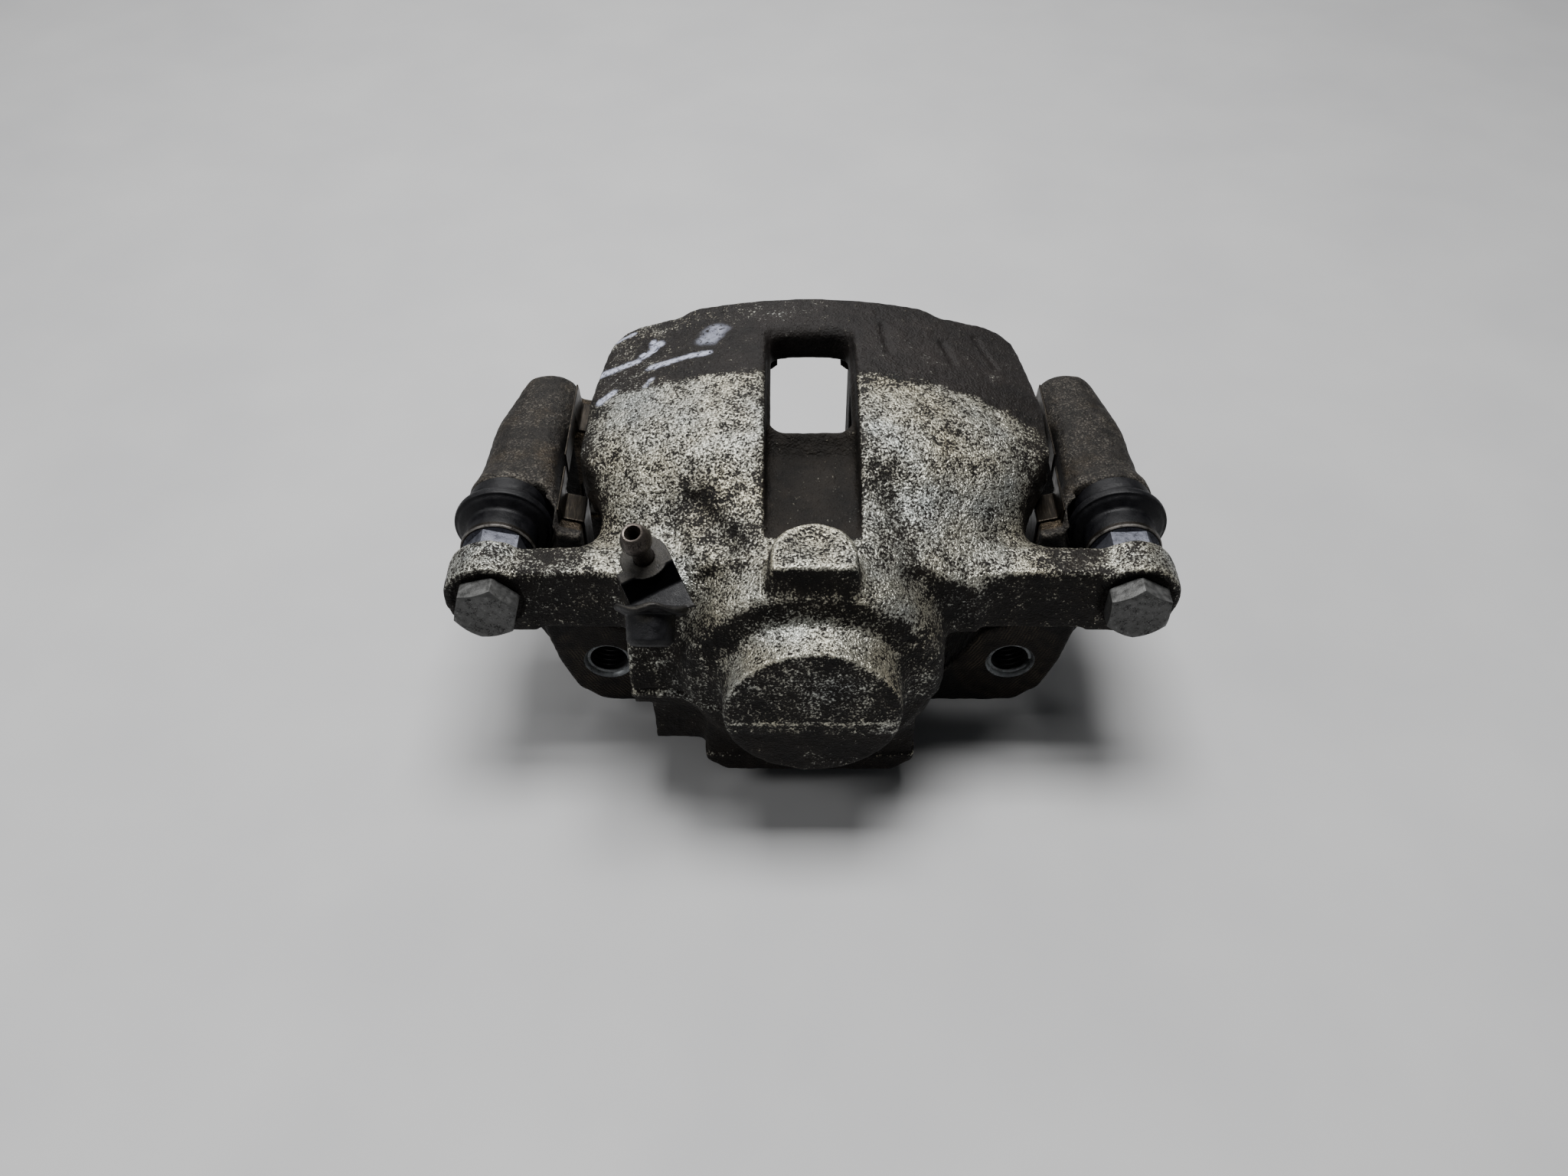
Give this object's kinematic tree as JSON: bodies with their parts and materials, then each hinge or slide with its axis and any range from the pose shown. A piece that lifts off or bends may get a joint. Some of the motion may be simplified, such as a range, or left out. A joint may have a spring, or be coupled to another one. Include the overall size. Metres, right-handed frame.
{
  "type": "brake caliper",
  "caption": "Floating brake caliper with a windowed bridge, fingers and one cylinder, sliding on guide pins in a carrier bracket, with bleed screw, boots and pad clips.",
  "frame": {"origin": "midway between the carrier's two mounting holes, on the inboard mounting face", "axes": "+Y outboard along the disc axis, +Z radially outward from the disc axis, +X to the right seen from inboard"},
  "size_m": [0.1902, 0.119, 0.0936],
  "materials": {
    "housing_iron": "zinc-yellow plated sand casting, speckled, dark above the disc",
    "carrier_iron": "bare cast iron, dark brown-grey",
    "zinc_steel": "dull zinc plate",
    "spring_steel": "stainless sheet, heat-tinted",
    "piston_steel": "ground and plated",
    "rubber": "matte black"
  },
  "bodies": {
    "carrier": {"carrier_bracket": "carrier_iron", "pad_clip_inboard_left": "spring_steel", "pad_clip_inboard_right": "spring_steel", "pad_clip_outboard_left": "spring_steel", "pad_clip_outboard_right": "spring_steel"},
    "housing": {"caliper_housing": "housing_iron", "piston_seal": "rubber", "dust_boot_ring": "zinc_steel", "piston_dust_boot": "rubber", "guide_pin_left": "zinc_steel", "guide_pin_right": "zinc_steel", "guide_pin_sleeve": "rubber", "guide_bolt_left": "zinc_steel", "guide_bolt_right": "zinc_steel", "pin_boot_left": "rubber", "pin_boot_right": "rubber"},
    "piston": {"piston": "piston_steel"},
    "bleed_screw": {"bleed_screw": "zinc_steel"},
    "bleed_cap": {"bleed_cap": "rubber"}
  },
  "joints": [
    {"name": "housing_slide", "type": "slide", "parent": "carrier", "child": "housing", "axis": [0, 1, 0], "range_m": [-0.012, 0.006], "deforming": ["pin_boot_left", "pin_boot_right"]},
    {"name": "piston_slide", "type": "slide", "parent": "housing", "child": "piston", "axis": [0, 1, 0], "range_m": [-0.003, 0.02], "deforming": ["piston_dust_boot"]},
    {"name": "bleed_screw_turn", "type": "hinge", "parent": "housing", "child": "bleed_screw", "pos_m": [-0.0403, -0.0155, 0.054], "axis": [-0.14, -0.2699, 0.9527], "range_deg": [0, 180]},
    {"name": "bleed_cap_swivel", "type": "hinge", "parent": "housing", "child": "bleed_cap", "pos_m": [-0.0403, -0.0155, 0.054], "axis": [-0.14, -0.2699, 0.9527], "range_deg": [-8, 8]}
  ]
}
